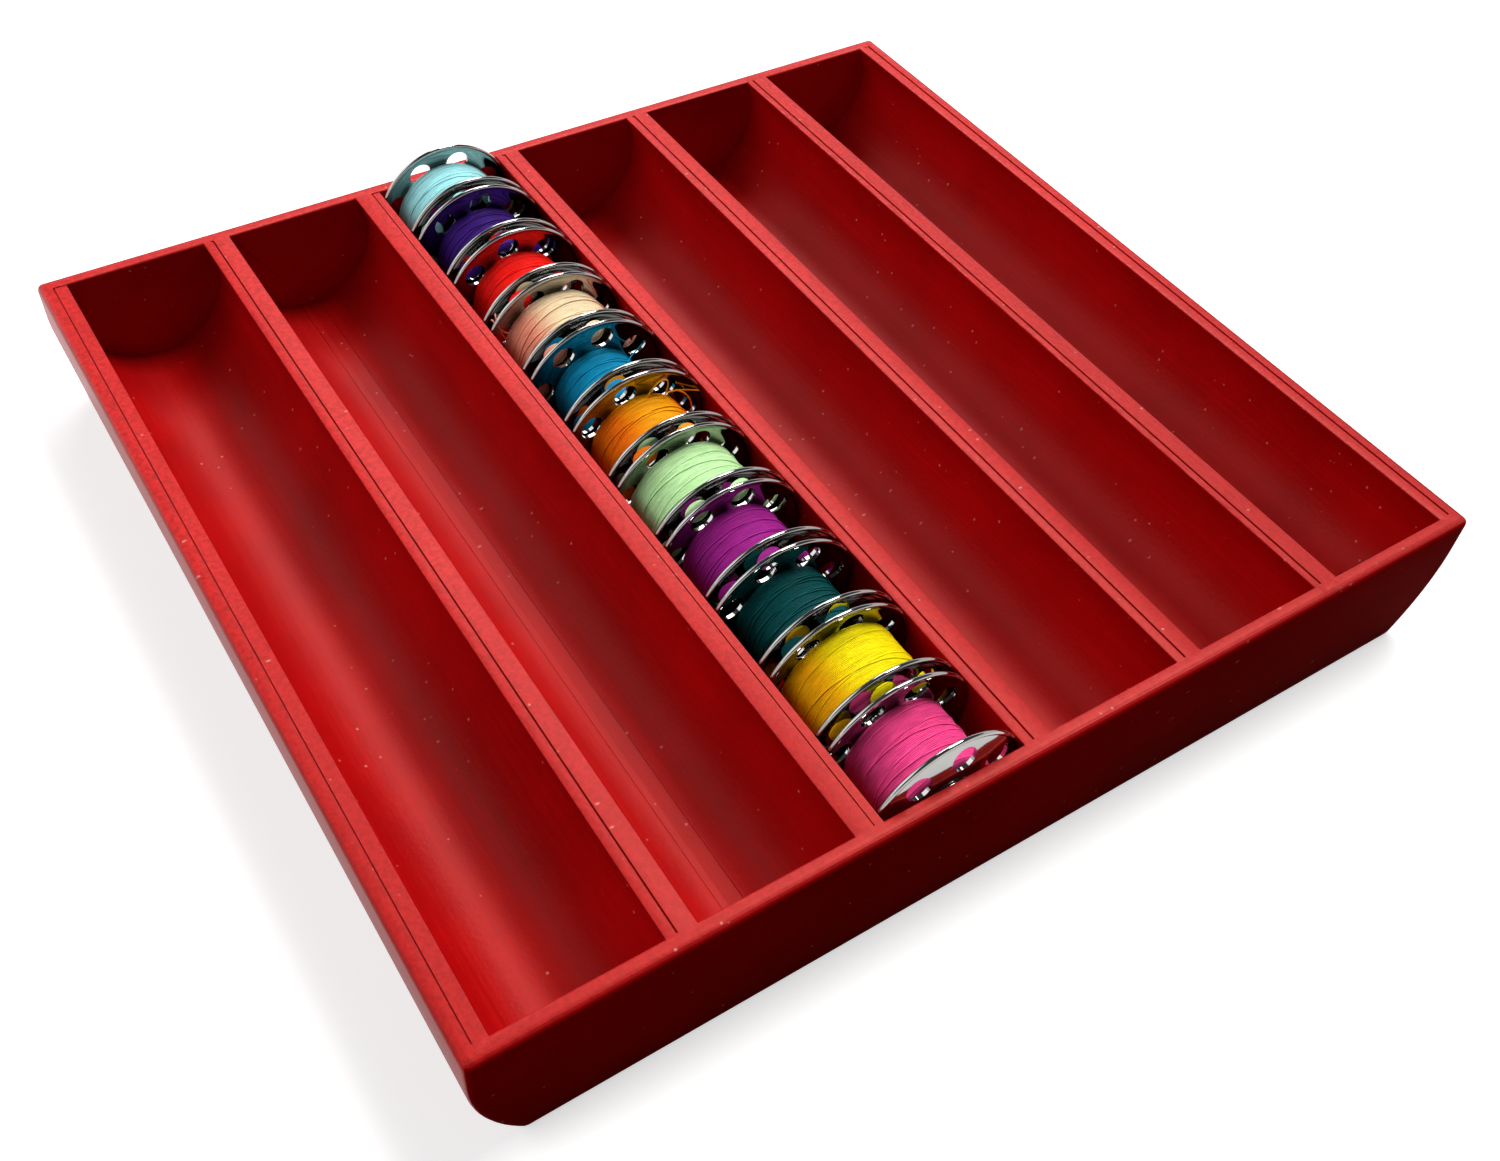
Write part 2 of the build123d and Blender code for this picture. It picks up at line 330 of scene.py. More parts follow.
def cut(piece, tool):
    """Cut a tool's shape out of a piece, and remove the tool."""
    apply_modifier(piece, "BOOLEAN", operation="DIFFERENCE", object=tool, solver="EXACT")
    bpy.data.objects.remove(tool)


def finish_piece(piece, name, material, body, slot, *nodes):
    """Give a finished piece its name, material and body, in place of its CAD nodes. The slot argument is not used."""
    settle(piece, name)
    piece.data.materials.clear()
    piece.data.materials.append(material)
    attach(piece, body)
    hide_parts(*nodes)


# Materials


class Recipe:
    """A node material under construction."""

    def __init__(self, name):
        self.material = bpy.data.materials.new(name)
        self.material.use_nodes = True
        self.nodes = self.material.node_tree.nodes
        self.links = self.material.node_tree.links
        self.shader = self.nodes["Principled BSDF"]
        self.place = self.nodes.new("ShaderNodeTexCoord").outputs["Object"]

    def link(self, source, socket):
        """Lead an output to an input."""
        self.links.new(source, socket)

    def stretched(self, scale, turn=(0, 0, 0)):
        """Object coordinates, scaled and turned."""
        node = self.nodes.new("ShaderNodeMapping")
        node.inputs["Scale"].default_value = scale
        node.inputs["Rotation"].default_value = turn
        self.link(self.place, node.inputs["Vector"])
        return node.outputs["Vector"]

    def noise(self, scale, detail=3.0, roughness=0.55, place=None):
        """Soft random values from 0 to 1."""
        node = self.nodes.new("ShaderNodeTexNoise")
        node.inputs["Scale"].default_value = scale
        node.inputs["Detail"].default_value = detail
        node.inputs["Roughness"].default_value = roughness
        self.link(place or self.place, node.inputs["Vector"])
        return node.outputs["Fac"]

    def cells(self, scale, place=None):
        """Distance to scattered points."""
        node = self.nodes.new("ShaderNodeTexVoronoi")
        node.inputs["Scale"].default_value = scale
        self.link(place or self.place, node.inputs["Vector"])
        return node.outputs["Distance"]

    def band(self, value, low, high, start=0.0, end=1.0):
        """Map a value from low..high to start..end, smoothly and clamped."""
        node = self.nodes.new("ShaderNodeMapRange")
        node.interpolation_type = "SMOOTHSTEP"
        node.inputs["From Min"].default_value = low
        node.inputs["From Max"].default_value = high
        node.inputs["To Min"].default_value = start
        node.inputs["To Max"].default_value = end
        self.link(value, node.inputs["Value"])
        return node.outputs["Result"]

    def times(self, first, second):
        """The product of two values."""
        return self.compute("MULTIPLY", first, second)

    def compute(self, operation, first, second):
        """A math node of two values, each a socket or a number."""
        node = self.nodes.new("ShaderNodeMath")
        node.operation = operation
        for socket, value in zip(node.inputs, (first, second)):
            if isinstance(value, (int, float)):
                socket.default_value = value
            else:
                self.link(value, socket)
        return node.outputs["Value"]

    def mix(self, share, first, second):
        """A colour between two, each a socket or a colour."""
        node = self.nodes.new("ShaderNodeMix")
        node.data_type = "RGBA"
        self.link(share, node.inputs["Factor"])
        for socket, value in zip((node.inputs[6], node.inputs[7]), (first, second)):
            if isinstance(value, bpy.types.NodeSocket):
                self.link(value, socket)
            else:
                socket.default_value = (*value, 1)
        return node.outputs[2]

    def bump(self, height, distance, strength=1.0, normal=None):
        """A normal that a height bends, on top of another normal."""
        node = self.nodes.new("ShaderNodeBump")
        node.inputs["Strength"].default_value = strength
        node.inputs["Distance"].default_value = distance
        self.link(height, node.inputs["Height"])
        if normal:
            self.link(normal, node.inputs["Normal"])
        return node.outputs["Normal"]

    def parts(self):
        """X, Y and Z of the object coordinates."""
        node = self.nodes.new("ShaderNodeSeparateXYZ")
        self.link(self.place, node.inputs["Vector"])
        return node.outputs["X"], node.outputs["Y"], node.outputs["Z"]

    def seen(self):
        """1 for what the camera sees, straight, in a mirror or through glass."""
        path = self.nodes.new("ShaderNodeLightPath").outputs
        mirrored = self.compute("MAXIMUM", path["Is Camera Ray"], path["Is Glossy Ray"])
        return self.compute("MAXIMUM", mirrored, path["Is Transmission Ray"])


def shade(colour, factor):
    """A darker or lighter colour, kept under 1."""
    return tuple(min(1.0, max(0.0, c * factor)) for c in colour)


def tray_rubber(sizes):
    """Satin rubber, paler on its rim, with fine moulding marks along the troughs, dust, lint, an edge with wear, and
    painted shade that darkens the top towards the front.
    """
    r = Recipe("tray_rubber")
    x, y, z = r.parts()
    deep, rim = tuple(sizes.colour), tuple(sizes.rim_colour)

    # deep red inside, with fine lines along the troughs, and a paler, mottled top, with painted shade that darkens it
    # towards the front
    top = r.band(z, tray_high.z - 0.35 * MM, tray_high.z - 0.12 * MM)
    cloudy = r.band(r.noise(CLOUDS, 4, 0.6), 0.3, 0.7)
    mottled = r.band(r.noise(MOTTLES, 4, 0.7), 0.35, 0.68)
    lines = r.noise(1.0, 3, 0.6, r.stretched(MOULD_LINES))
    inside = r.mix(cloudy, shade(deep, 0.85), shade(deep, 1.1))
    inside = r.mix(r.times(r.band(lines, 0.45, 0.7), 0.3), inside, shade(deep, 1.5))
    rim_wear_and_shade = r.mix(cloudy, shade(rim, 0.93), shade(rim, 1.05))
    rim_wear_and_shade = r.mix(r.times(mottled, 0.8), rim_wear_and_shade, shade(rim, 0.5))
    # painted shade: the top is darkened towards the front, as if lit from behind
    front = r.band(y, tray_high.y * 0.5, tray_low.y)
    rim_wear_and_shade = r.mix(r.times(front, 0.55), rim_wear_and_shade, shade(rim, 0.5))
    base = r.mix(top, inside, rim_wear_and_shade)

    # dust and fluff
    dust = r.band(r.cells(DUST), 0.10, 0.03)
    dust = r.times(dust, r.band(r.noise(DUST_PATCHES, 2), 0.46, 0.53))
    fluff = r.band(r.cells(1.0, r.stretched(FLUFF, (0, 0, 0.5))), 0.075, 0.03)
    fluff = r.times(fluff, r.band(r.noise(FLUFF_PATCHES, 1), 0.5, 0.6))
    specks = r.compute("MAXIMUM", dust, fluff)
    base = r.mix(r.times(specks, 0.5), base, DUST_COLOUR)

    # grime on the left rim, and streaks on the rough wall's top
    left_rim = r.times(r.band(x, tray_low.x + 2.6 * MM, tray_low.x + 0.8 * MM), top)
    grime = r.band(r.noise(GRIME, 4, 0.7), 0.56, 0.7)
    base = r.mix(r.times(r.times(grime, left_rim), 0.5), base, shade(rim, 0.3))
    wall, half = (ROUGH_WALL - sizes.troughs / 2) * sizes.pitch, 1.7 * MM
    rough_wall = r.times(r.compute("GREATER_THAN", x, wall - half), top)
    rough_wall = r.times(r.compute("LESS_THAN", x, wall + half), rough_wall)
    streaks = r.band(r.noise(1.0, 4, 0.7, r.stretched(STREAKS)), 0.45, 0.6)
    streaks = r.times(streaks, rough_wall)
    base = r.mix(r.times(streaks, 0.55), base, shade(rim, 0.7))
    r.link(base, r.shader.inputs["Base Color"])

    # satin inside and on top, and hardly any mirroring on the end faces
    r.link(r.band(lines, 0.3, 0.7, 0.36, 0.43), r.shader.inputs["Roughness"])
    r.shader.inputs["Specular Tint"].default_value = GLOSS_COLOUR
    ends = r.band(r.compute("ABSOLUTE", y, 0.0), tray_high.y - 0.6 * MM, tray_high.y - 0.2 * MM)
    ends = r.times(ends, r.band(top, 1.0, 0.5))
    r.link(r.band(ends, 0.0, 1.0, RUBBER_IOR, END_FACE_IOR), r.shader.inputs["IOR"])

    # relief
    normal = r.bump(lines, 0.012 * MM, 0.4)
    normal = r.bump(mottled, 0.016 * MM, 0.6, normal)
    normal = r.bump(specks, 0.05 * MM, 0.6, normal)
    normal = r.bump(streaks, 0.05 * MM, 0.8, normal)
    r.link(normal, r.shader.inputs["Normal"])
    return r.material


def nickel_plate(colour):
    """Bright nickel plate with fine polishing marks and faint handling haze."""
    r = Recipe("bobbin_steel")
    haze = r.band(r.noise(500, 3), 0.3, 0.75)
    r.link(r.mix(haze, colour, shade(colour, 0.93)), r.shader.inputs["Base Color"])
    r.shader.inputs["Metallic"].default_value = 1.0
    r.link(r.band(r.noise(900, 3, 0.6), 0.4, 0.75, 0.05, 0.09), r.shader.inputs["Roughness"])
    return r.material


def sewing_thread(name, colour):
    """Spun thread: a soft sheen, small changes of shade from strand to strand, fibres, and, if warm, a redder foot of
    painted light bounced off the red walls.
    """
    r = Recipe(f"{name}_thread")
    across = r.noise(1.0, 2, 0.6, r.stretched(STRANDS))
    fibres = r.noise(FIBRES, 3, 0.7)
    if name in PAINTED_BOUNCE_COLOURS:
        # painted reflected light: warm threads turn redder low down and towards the left, as if lit by the red walls
        x, _, z = r.parts()
        trough_x = bobbin_middle(BOBBINS[0]).x
        side = r.band(x, trough_x - 9 * MM, trough_x + 4 * MM, 0.0, 3 * MM)
        height = r.band(r.compute("ADD", z, side), tray_high.z + 0.8 * MM, tray_high.z + 4.6 * MM)
        light = r.mix(height, PAINTED_BOUNCE_COLOURS[name], colour)
        dark = r.mix(height, shade(PAINTED_BOUNCE_COLOURS[name], DARK_STRAND), shade(colour, DARK_STRAND))
    else:
        light, dark = shade(colour, 1.1), shade(colour, DARK_STRAND)
    base = r.mix(r.band(across, 0.3, 0.7), dark, light)
    base = r.mix(r.band(fibres, 0.35, 0.75, 0.0, 0.4), base, shade(colour, 0.84))
    r.link(base, r.shader.inputs["Base Color"])
    r.shader.inputs["Roughness"].default_value = 0.6
    r.shader.inputs["Specular IOR Level"].default_value = 0.12
    r.shader.inputs["Sheen Weight"].default_value = 0.15
    r.shader.inputs["Sheen Roughness"].default_value = 0.4
    r.shader.inputs["Sheen Tint"].default_value = (*shade(colour, 1.2), 1)
    r.link(r.bump(fibres, 0.02 * MM, 0.6), r.shader.inputs["Normal"])
    return r.material


# Pieces


class BOBBINHOLDER_OT_tray(bpy.types.Operator):
    """Model the rubber tray: a block with curved-in sides, six round troughs and fine seams in its rim"""

    bl_idname = "bobbin_holder.tray"
    bl_label = "Tray"

    def execute(self, context):
        sizes = context.scene.tray_sizes
        size = tray_high - tray_low
        middle = (tray_low + tray_high) / 2
        axis_z = tray_high.z - sizes.axis_depth
        start_piece()
        bpy.ops.mesh.primitive_cube_add(size=1, location=middle, scale=size)
        tray = settle(bpy.context.object, "tray_rubber")
        self.curve_sides(tray, axis_z, sizes.base_inset)
        apply_modifier(tray, "BEVEL", width=0.8 * MM, segments=4, limit_method="ANGLE", angle_limit=SHARP)
        length = size.y - 2 * sizes.end_wall
        for number in range(sizes.troughs):
            x = (number - (sizes.troughs - 1) / 2) * sizes.pitch
            start_piece()
            bpy.ops.mesh.primitive_cylinder_add(
                vertices=144, radius=sizes.trough_radius, depth=length, location=(x, 0, axis_z),
                rotation=(math.pi / 2, 0, 0))
            tool = settle(bpy.context.object, "trough")
            cut(tray, tool)
        self.round_rim(tray, sizes)
        self.cut_seams(tray, sizes, length)
        self.crease(tray, sizes, axis_z, length)
        choose(tray)
        bpy.ops.object.shade_smooth_by_angle(angle=math.radians(35))
        finish_piece(tray, "tray_rubber", tray_rubber(sizes), "tray", "tray_rubber", "tray")
        return {"FINISHED"}

    def curve_sides(self, tray, axis_z, inset):
        """Draw the long sides in below the troughs' axis, level by level, along an arc."""
        half = tray_high.x
        radius = (axis_z**2 + inset**2) / (2 * inset)
        steps = 14
        levels = [axis_z * (1 - n / steps) for n in range(steps + 1)]
        for level in levels[:-1]:
            choose(tray)
            bpy.ops.object.mode_set(mode="EDIT")
            bpy.ops.mesh.select_all(action="SELECT")
            bpy.ops.mesh.bisect(plane_co=(0, 0, level), plane_no=(0, 0, 1))
        for level in levels:
            drop = axis_z - level
            in_by = radius - math.sqrt(radius**2 - drop**2)
            pick(tray, "VERT", lambda co: abs(co.z - level) < TINY)
            bpy.ops.transform.resize(value=((half - in_by) / half, 1, 1), center_override=(0, 0, level))
        bpy.ops.object.mode_set(mode="OBJECT")

    def round_rim(self, tray, sizes):
        """Round the rim's edges, outside and round each mouth."""
        pick(tray, "EDGE", lambda co: co.z > tray_high.z - TINY)
        bpy.ops.mesh.bevel(offset=sizes.rim_edge, segments=3, affect="EDGES")
        bpy.ops.object.mode_set(mode="OBJECT")

    def cut_seams(self, tray, sizes, length):
        """Cut the fine seams that run along the walls' tops, and lower the strip between each and one mouth."""
        mouth = math.sqrt(sizes.trough_radius**2 - sizes.axis_depth**2)
        for wall, offset, side in SEAMS:
            x = (wall - sizes.troughs / 2) * sizes.pitch
            outer = tray_high.x - (sizes.troughs - 1) * sizes.pitch / 2 - mouth
            if wall in (0, sizes.troughs):
                x = math.copysign(tray_high.x - outer / 2, x)
            seam = x + offset * MM
            edge = (wall + side / 2 - sizes.troughs / 2) * sizes.pitch - side * mouth
            into_mouth = side * MM
            self.slot(tray, seam - sizes.seam_width / 2, seam + sizes.seam_width / 2, length, sizes.seam_depth)
            self.slot(tray, min(seam, edge - into_mouth), max(seam, edge + into_mouth), length, sizes.strip_drop)

    def slot(self, tray, left, right, length, depth):
        """Cut a slot along the tray's top."""
        start_piece()
        bpy.ops.mesh.primitive_cube_add(
            size=1, location=((left + right) / 2, 0, tray_high.z), scale=(right - left, length, 2 * depth))
        cut(tray, settle(bpy.context.object, "slot"))

    def crease(self, tray, sizes, axis_z, length):
        """Cut a narrow flat strip with sharp edges along the bottom of one trough, and a scratch beside it."""
        x = (1 - (sizes.troughs - 1) / 2) * sizes.pitch
        height, short_of_walls = 1 * MM, 1 * MM
        for turn, width, depth in CREASES:
            angle = math.radians(turn)
            out = sizes.trough_radius + depth - height / 2
            start_piece()
            bpy.ops.mesh.primitive_cube_add(
                size=1, location=(x + out * math.sin(angle), 0, axis_z - out * math.cos(angle)),
                rotation=(0, -angle, 0), scale=(width, length - short_of_walls, height))
            cut(tray, settle(bpy.context.object, "crease"))


class BOBBINHOLDER_OT_bobbins(bpy.types.Operator):
    """Model one flange by spinning its section and one core tube from a cylinder, and place copies on every bobbin"""

    bl_idname = "bobbin_holder.bobbins"
    bl_label = "Bobbins"

    def execute(self, context):
        sizes = context.scene.bobbin_sizes
        plate = nickel_plate(sizes.steel)
        flange = self.model_flange(sizes)
        core = self.model_core(sizes)
        for bobbin, (_, _, _, back_turn, front_turn, _) in zip(BOBBINS, WINDINGS):
            middle = bobbin_middle(bobbin)
            for side, turn, flip in (("back", back_turn, 0), ("front", -front_turn, math.pi)):
                piece = copy_of(flange)
                piece.rotation_mode = "XYZ"
                turned = Matrix.Rotation(flip, 4, "X") @ Matrix.Rotation(-math.radians(turn), 4, "Y")
                piece.matrix_world = Matrix.Translation(middle) @ turned
                node = f"{bobbin}_{side}_flange"
                finish_piece(piece, f"{node}_steel", plate, bobbin, "bobbin_steel", node)
            piece = copy_of(core)
            piece.location = middle
            finish_piece(piece, f"{bobbin}_core_steel", plate, bobbin, "bobbin_steel", f"{bobbin}_core")
        bpy.data.objects.remove(flange)
        bpy.data.objects.remove(core)
        return {"FINISHED"}

    def model_flange(self, sizes):
        """A domed disc whose outer face looks along +Y, with a bead round its rim and a ring of round holes."""
        bead_middle = (sizes.flange_diameter - sizes.bead) / 2
        rim_y = (sizes.rim_width - sizes.bead) / 2
        hub_y = rim_y + sizes.dome
        half = sizes.sheet / 2
        inner = sizes.bore / 2 + sizes.core_wall + CORE_FIT
        start_piece()
        bpy.ops.mesh.primitive_circle_add(vertices=16, radius=sizes.bead / 2, location=(bead_middle, rim_y, 0))
        flange = settle(bpy.context.object, "flange")
        pick(flange, "VERT", lambda co: co.x < bead_middle - 0.45 * sizes.bead)
        bpy.ops.mesh.delete(type="VERT")
        bpy.ops.object.mode_set(mode="OBJECT")
        steps = 9
        points = [(v.co.x, v.co.y) for v in flange.data.vertices]
        loose = [min(p for p in points if p[1] * way > rim_y * way) for way in (-1, 1)]
        for way, last in zip((-1, 1), loose):
            for n in range(1, steps + 1):
                share = n / steps
                x = bead_middle + (sizes.hub_radius - bead_middle) * share
                rise = sizes.dome * math.sin(share * math.pi / 2)
                last = self.draw_on(flange, last, (x, rim_y + rise + way * half))
            self.draw_on(flange, last, (inner, hub_y + way * half))
        pick(flange, "VERT", lambda co: co.x < inner + TINY)
        bpy.ops.mesh.edge_face_add()
        self.spin_round(flange, 120)
        for number in range(sizes.holes):
            angle = 2 * math.pi * number / sizes.holes
            start_piece()
            bpy.ops.mesh.primitive_cylinder_add(
                vertices=32, radius=sizes.hole_diameter / 2, depth=4 * MM,
                location=(sizes.hole_ring * math.cos(angle), hub_y, sizes.hole_ring * math.sin(angle)),
                rotation=(math.pi / 2, 0, 0))
            cut(flange, settle(bpy.context.object, "hole"))
        apply_modifier(flange, "BEVEL", width=0.07 * MM, segments=2, limit_method="ANGLE", angle_limit=SHARP)
        choose(flange)
        bpy.ops.object.shade_smooth_by_angle(angle=math.radians(40))
        return flange

    def draw_on(self, piece, start, end):
        """Extrude the section's loose end from start to end."""
        pick(piece, "VERT", lambda co: abs(co.x - start[0]) + abs(co.y - start[1]) < 0.002 * MM)
        step = (end[0] - start[0], end[1] - start[1], 0)
        bpy.ops.mesh.extrude_region_move(TRANSFORM_OT_translate={"value": step})
        bpy.ops.object.mode_set(mode="OBJECT")
        return end

    def spin_round(self, piece, steps):
        """Spin a section once round the Y axis and close it."""
        choose(piece)
        bpy.ops.object.mode_set(mode="EDIT")
        bpy.ops.mesh.select_all(action="SELECT")
        bpy.ops.mesh.spin(steps=steps, angle=2 * math.pi, center=(0, 0, 0), axis=(0, 1, 0))
        bpy.ops.object.mode_set(mode="OBJECT")
        clean(piece)

    def model_core(self, sizes):
        """The core tube with both ends rolled out over the flanges."""
        bore = sizes.bore / 2
        hub_face = (sizes.rim_width - sizes.bead) / 2 + sizes.dome + sizes.sheet / 2
        end = hub_face + sizes.lip_thickness
        lip = bore + sizes.core_wall + sizes.lip_width
        start_piece()
        bpy.ops.mesh.primitive_cylinder_add(vertices=96, radius=lip, depth=2 * end, rotation=(math.pi / 2, 0, 0))
        core = settle(bpy.context.object, "core")
        for way in (-1, 1):
            pick(core, "FACE", lambda co, normal: normal.y * way > 0.9)
            bpy.ops.mesh.inset(thickness=lip - bore)
            bpy.ops.mesh.delete(type="FACE")
            bpy.ops.object.mode_set(mode="OBJECT")
        pick(core, "EDGE", lambda co: math.hypot(co.x, co.z) < bore + TINY)
        bpy.ops.mesh.bridge_edge_loops()
        for level in (-hub_face, hub_face):
            choose(core)
            bpy.ops.object.mode_set(mode="EDIT")
            bpy.ops.mesh.select_all(action="SELECT")
            bpy.ops.mesh.bisect(plane_co=(0, level, 0), plane_no=(0, 1, 0))
        outer = bore + sizes.core_wall
        pick(core, "FACE", lambda co, normal: abs(co.y) < 1 * MM and math.hypot(co.x, co.z) > lip - 0.05 * MM)
        bpy.ops.mesh.extrude_region_shrink_fatten(TRANSFORM_OT_shrink_fatten={"value": outer - lip})
        bpy.ops.object.mode_set(mode="OBJECT")
        clean(core)
        apply_modifier(core, "BEVEL", width=0.08 * MM, segments=3, limit_method="ANGLE", angle_limit=SHARP)
        choose(core)
        bpy.ops.object.shade_smooth_by_angle(angle=math.radians(40))
        return core


class BOBBINHOLDER_OT_threads(bpy.types.Operator):
    """Wind each bobbin: a core of thread, an outer layer of fine turns and a few strands that cross it"""

    bl_idname = "bobbin_holder.threads"
    bl_label = "Threads"

    def execute(self, context):
        sizes = context.scene.thread_sizes
        metal = context.scene.bobbin_sizes
        for number, (bobbin, winding) in enumerate(zip(BOBBINS, WINDINGS)):
            name, colour, radius, _, _, crossings = winding
            radius = radius * MM
            half = self.half_width(metal, sizes, radius)
            parts = [self.pack(metal, sizes, radius - 0.5 * sizes.strand)]
            parts.append(self.turns(radius, half, sizes.spacing, sizes.strand, 64))
            for order, pitch in enumerate(crossings):
                # each crossing strand lies a little higher and ends a little sooner than the one before
                lift = radius + sizes.strand * (0.45 + 0.2 * order)
                parts.append(self.turns(lift, half * (0.96 - 0.05 * order), pitch * MM, sizes.strand * 0.9, 96))
            thread = join(parts)
            self.loosen(thread, number)
            ends = [self.loose_end(points, sizes.strand) for owner, points in LOOSE_ENDS if owner == bobbin]
            thread = join([thread, *ends])
            choose(thread)
            bpy.ops.object.shade_smooth()
            thread.location = bobbin_middle(bobbin)
            finish_piece(thread, f"{bobbin}_thread_wound", sewing_thread(name, colour), bobbin, f"{name}_thread",
                         f"{bobbin}_thread", f"{bobbin}_outer_turns")
        return {"FINISHED"}

    def half_width(self, metal, sizes, radius):
        """Half the winding's width at a radius, inside the domed flanges."""
        bead_middle = (metal.flange_diameter - metal.bead) / 2
        share = max(0, (radius - metal.hub_radius) / (bead_middle - metal.hub_radius))
        hub = (metal.rim_width - metal.bead) / 2 + metal.dome
        return hub - metal.dome * share - metal.sheet / 2 - sizes.side_gap

    def pack(self, metal, sizes, radius):
        """The thread under the outer layer: a ring whose sides follow the domed flanges."""
        inner = metal.bore / 2 + metal.core_wall + CORE_FIT
        half = self.half_width(metal, sizes, inner)
        start_piece()
        bpy.ops.mesh.primitive_cylinder_add(vertices=96, radius=radius, depth=2 * half, rotation=(math.pi / 2, 0, 0))
        ring = settle(bpy.context.object, "pack")
        outer_half = self.half_width(metal, sizes, radius)
        hub_half = self.half_width(metal, sizes, metal.hub_radius)
        for way in (-1, 1):
            pick(ring, "FACE", lambda co, normal: normal.y * way > 0.9)
            bpy.ops.mesh.inset(thickness=radius - metal.hub_radius)
            bpy.ops.mesh.inset(thickness=metal.hub_radius - inner)
            bpy.ops.mesh.delete(type="FACE")
            bpy.ops.object.mode_set(mode="OBJECT")
        pick(ring, "EDGE", lambda co: math.hypot(co.x, co.z) < inner + TINY)
        bpy.ops.mesh.bridge_edge_loops()
        for way in (-1, 1):
            pick(ring, "VERT", lambda co: co.y * way > 0 and math.hypot(co.x, co.z) > radius - TINY)
            bpy.ops.transform.translate(value=(0, way * (outer_half - half), 0))
            hub = metal.hub_radius
            pick(ring, "VERT", lambda co: co.y * way > 0 and abs(math.hypot(co.x, co.z) - hub) < 5 * TINY)
            bpy.ops.transform.translate(value=(0, way * (hub_half - half), 0))
        bpy.ops.object.mode_set(mode="OBJECT")
        clean(ring)
        return ring

    def turns(self, radius, half, pitch, strand, steps):
        """Even turns of thread from one flange to the other."""
        count = max(1, math.floor((2 * half - strand) / abs(pitch)))
        start = -math.copysign(count * abs(pitch) / 2, pitch)
        start_piece()
        bpy.ops.mesh.primitive_circle_add(vertices=6, radius=strand / 2, location=(radius - strand / 2, start, 0))
        strand_piece = settle(bpy.context.object, "turns")
        apply_modifier(strand_piece, "SCREW", axis="Y", angle=2 * math.pi, screw_offset=pitch, iterations=count,
                       steps=steps, render_steps=steps, use_merge_vertices=False)
        choose(strand_piece)
        bpy.ops.object.mode_set(mode="EDIT")
        bpy.ops.mesh.select_all(action="SELECT")
        bpy.ops.mesh.fill_holes(sides=8)
        bpy.ops.object.mode_set(mode="OBJECT")
        clean(strand_piece, 0.0001 * MM)
        return strand_piece

    def loose_end(self, points, strand):
        """A loose end of thread along a smooth path."""
        start_piece()
        bpy.ops.curve.primitive_nurbs_path_add()
        path = bpy.context.object
        for knot, place in zip(path.data.splines[0].points, points):
            knot.co = (*(value * MM for value in place), 1)
        path.data.bevel_depth = strand / 2
        path.data.bevel_resolution = 1
        path.data.use_fill_caps = True
        bpy.ops.object.convert(target="MESH")
        return bpy.context.object

    def loosen(self, thread, seed):
        """Let the turns wander a little, as wound thread does."""
        shift = (seed * 0.37 * MM, seed * 0.11, seed * 0.53 * MM)
        for axis, strength, size in WANDER:
            texture = bpy.data.textures.new("wander", "CLOUDS")
            texture.noise_scale = size * MM
            texture.noise_depth = 1
            self.move(thread, shift)
            apply_modifier(thread, "DISPLACE", texture=texture, direction=axis, strength=strength * MM, mid_level=0.5,
                           texture_coords="LOCAL")
            self.move(thread, [-value for value in shift])

    def move(self, thread, shift):
        """Shift the thread within its mesh, so that each bobbin gets its own part of the texture."""
        thread.location = shift
        choose(thread)
        bpy.ops.object.transform_apply(location=True)


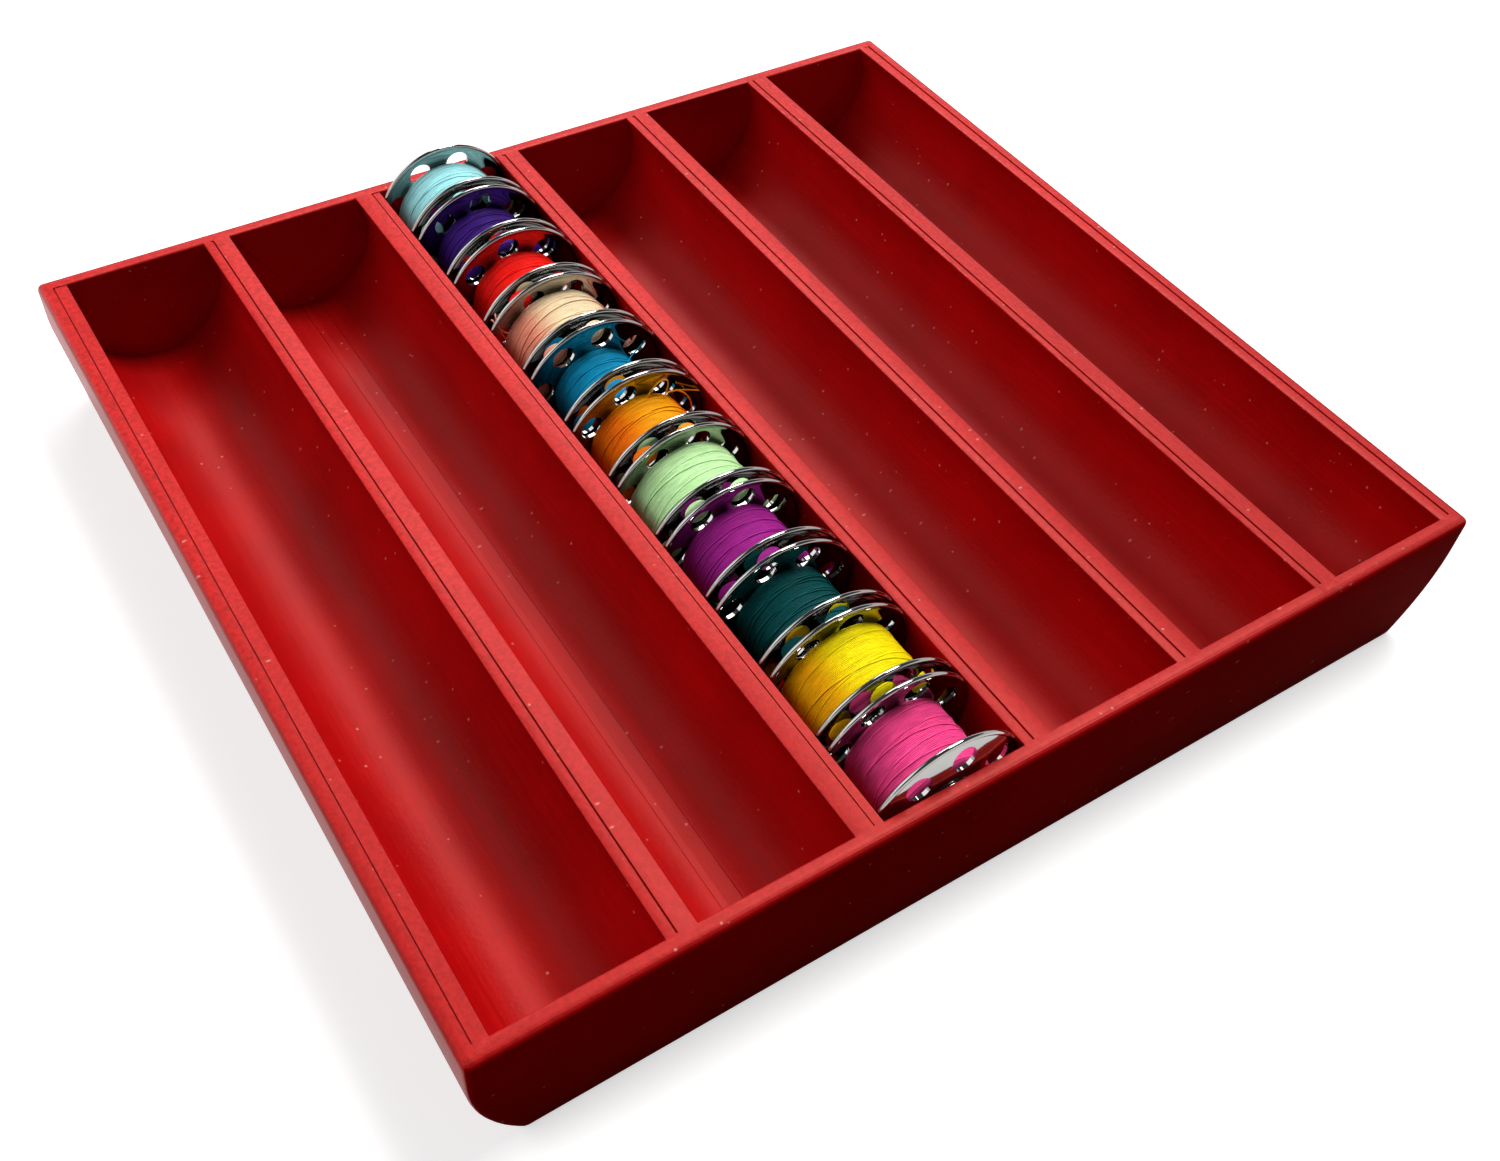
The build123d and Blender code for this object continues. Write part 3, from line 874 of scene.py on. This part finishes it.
class BOBBINHOLDER_OT_stage(bpy.types.Operator):
    """Set up the floor, the backdrop, the lamps, the surroundings and the camera"""

    bl_idname = "bobbin_holder.stage"
    bl_label = "Stage"

    def execute(self, context):
        settings = context.scene.stage_settings
        self.floor()
        self.backdrop()
        self.surroundings(settings.sky)
        key = self.lamp("SUN", "key", Vector(settings.key_from) * 0.5, settings.key, WARM_WHITE)
        key.angle = settings.key_softness
        for name in ("window", "ceiling"):
            place = Vector(getattr(settings, f"{name}_from"))
            soft = self.lamp("AREA", name, place, getattr(settings, name), WHITE)
            soft.shape = "RECTANGLE"
            soft.size, soft.size_y = getattr(settings, f"{name}_size")
        self.camera(settings)
        context.scene.view_settings.view_transform = "Standard"
        return {"FINISHED"}

    def floor(self):
        """A wooden floor for the light, which looks white to the camera and in mirrors and keeps the shadow."""
        start_piece()
        bpy.ops.mesh.primitive_plane_add(size=FLOOR_SIZE, location=(0, 0, 0))
        r = self.glowing("floor_white")
        seen = r.seen()
        r.link(r.mix(seen, WOOD, PALE), r.shader.inputs["Base Color"])
        r.shader.inputs["Roughness"].default_value = 0.9
        r.link(r.times(seen, FLOOR_GLOW), r.shader.inputs["Emission Strength"])
        self.place("floor", r.material)

    def backdrop(self):
        """A low round wall at the floor's edge, which is dark for the light and white behind the tray in low views."""
        start_piece()
        bpy.ops.mesh.primitive_cylinder_add(
            vertices=96, radius=WALL_RADIUS, depth=WALL_HEIGHT, end_fill_type="NOTHING",
            location=(0, 0, WALL_HEIGHT / 2))
        r = self.glowing("backdrop_white")
        r.shader.inputs["Base Color"].default_value = (0, 0, 0, 1)
        r.link(r.seen(), r.shader.inputs["Emission Strength"])
        self.place("backdrop", r.material)

    def glowing(self, name):
        """The start of a dull material that glows white."""
        r = Recipe(name)
        r.shader.inputs["Specular IOR Level"].default_value = 0.0
        r.shader.inputs["Emission Color"].default_value = (1, 1, 1, 1)
        return r

    def place(self, name, material):
        """Name the new piece and give it its material."""
        piece = bpy.context.object
        piece.name = name
        piece.data.materials.append(material)

    def surroundings(self, strength):
        """Even dim light all round."""
        world = bpy.data.worlds.new("studio")
        bpy.context.scene.world = world
        world.use_nodes = True
        light = world.node_tree.nodes["Background"]
        light.inputs["Color"].default_value = (1, 1, 1, 1)
        light.inputs["Strength"].default_value = strength

    def lamp(self, kind, name, place, power, colour):
        """A lamp that points at the tray; gives its data."""
        start_piece()
        bpy.ops.object.light_add(type=kind, location=place, rotation=place.to_track_quat("Z", "Y").to_euler())
        lamp = bpy.context.object
        lamp.name = name
        lamp.data.energy = power
        lamp.data.color = colour
        return lamp.data

    def camera(self, settings):
        """The camera, at the photograph's place and angle."""
        turn = (
            Matrix.Rotation(-settings.azimuth, 3, "Z")
            @ Matrix.Rotation(math.pi / 2 - settings.elevation, 3, "X")
            @ Matrix.Rotation(settings.roll, 3, "Z")
        )
        start_piece()
        bpy.ops.object.camera_add(location=settings.place, rotation=turn.to_euler())
        camera = bpy.context.object
        camera.data.sensor_width = 36
        camera.data.lens = settings.lens
        camera.data.clip_start = 0.005
        bpy.context.scene.camera = camera


class BOBBINHOLDER_PT_panel(bpy.types.Panel):
    """Sizes, colours and the steps that make the bobbin holder"""

    bl_idname = "BOBBINHOLDER_PT_panel"
    bl_label = "Bobbin Holder"
    bl_space_type = "VIEW_3D"
    bl_region_type = "UI"
    bl_category = "Bobbin Holder"

    def draw(self, context):
        for label, group, step in (
            ("Tray", "tray_sizes", BOBBINHOLDER_OT_tray),
            ("Bobbins", "bobbin_sizes", BOBBINHOLDER_OT_bobbins),
            ("Threads", "thread_sizes", BOBBINHOLDER_OT_threads),
            ("Stage", "stage_settings", BOBBINHOLDER_OT_stage),
        ):
            box = self.layout.box()
            box.label(text=label)
            settings = getattr(context.scene, group)
            for name in settings.__annotations__:
                box.prop(settings, name)
            box.operator(step.bl_idname)


GROUPS = {
    "tray_sizes": TraySizes,
    "bobbin_sizes": BobbinSizes,
    "thread_sizes": ThreadSizes,
    "stage_settings": StageSettings,
}
CLASSES = [
    *GROUPS.values(),
    BOBBINHOLDER_OT_tray,
    BOBBINHOLDER_OT_bobbins,
    BOBBINHOLDER_OT_threads,
    BOBBINHOLDER_OT_stage,
    BOBBINHOLDER_PT_panel,
]


def register():
    """Register the add-on's classes and settings."""
    for item in CLASSES:
        bpy.utils.register_class(item)
    for name, group in GROUPS.items():
        setattr(bpy.types.Scene, name, bpy.props.PointerProperty(type=group))


def unregister():
    """Take the add-on's classes and settings away again."""
    for name in GROUPS:
        delattr(bpy.types.Scene, name)
    for item in reversed(CLASSES):
        bpy.utils.unregister_class(item)


def main():
    """Make every piece and the stage."""
    register()
    bpy.ops.bobbin_holder.tray()
    bpy.ops.bobbin_holder.bobbins()
    bpy.ops.bobbin_holder.threads()
    bpy.ops.bobbin_holder.stage()


if __name__ == "__main__":
    main()
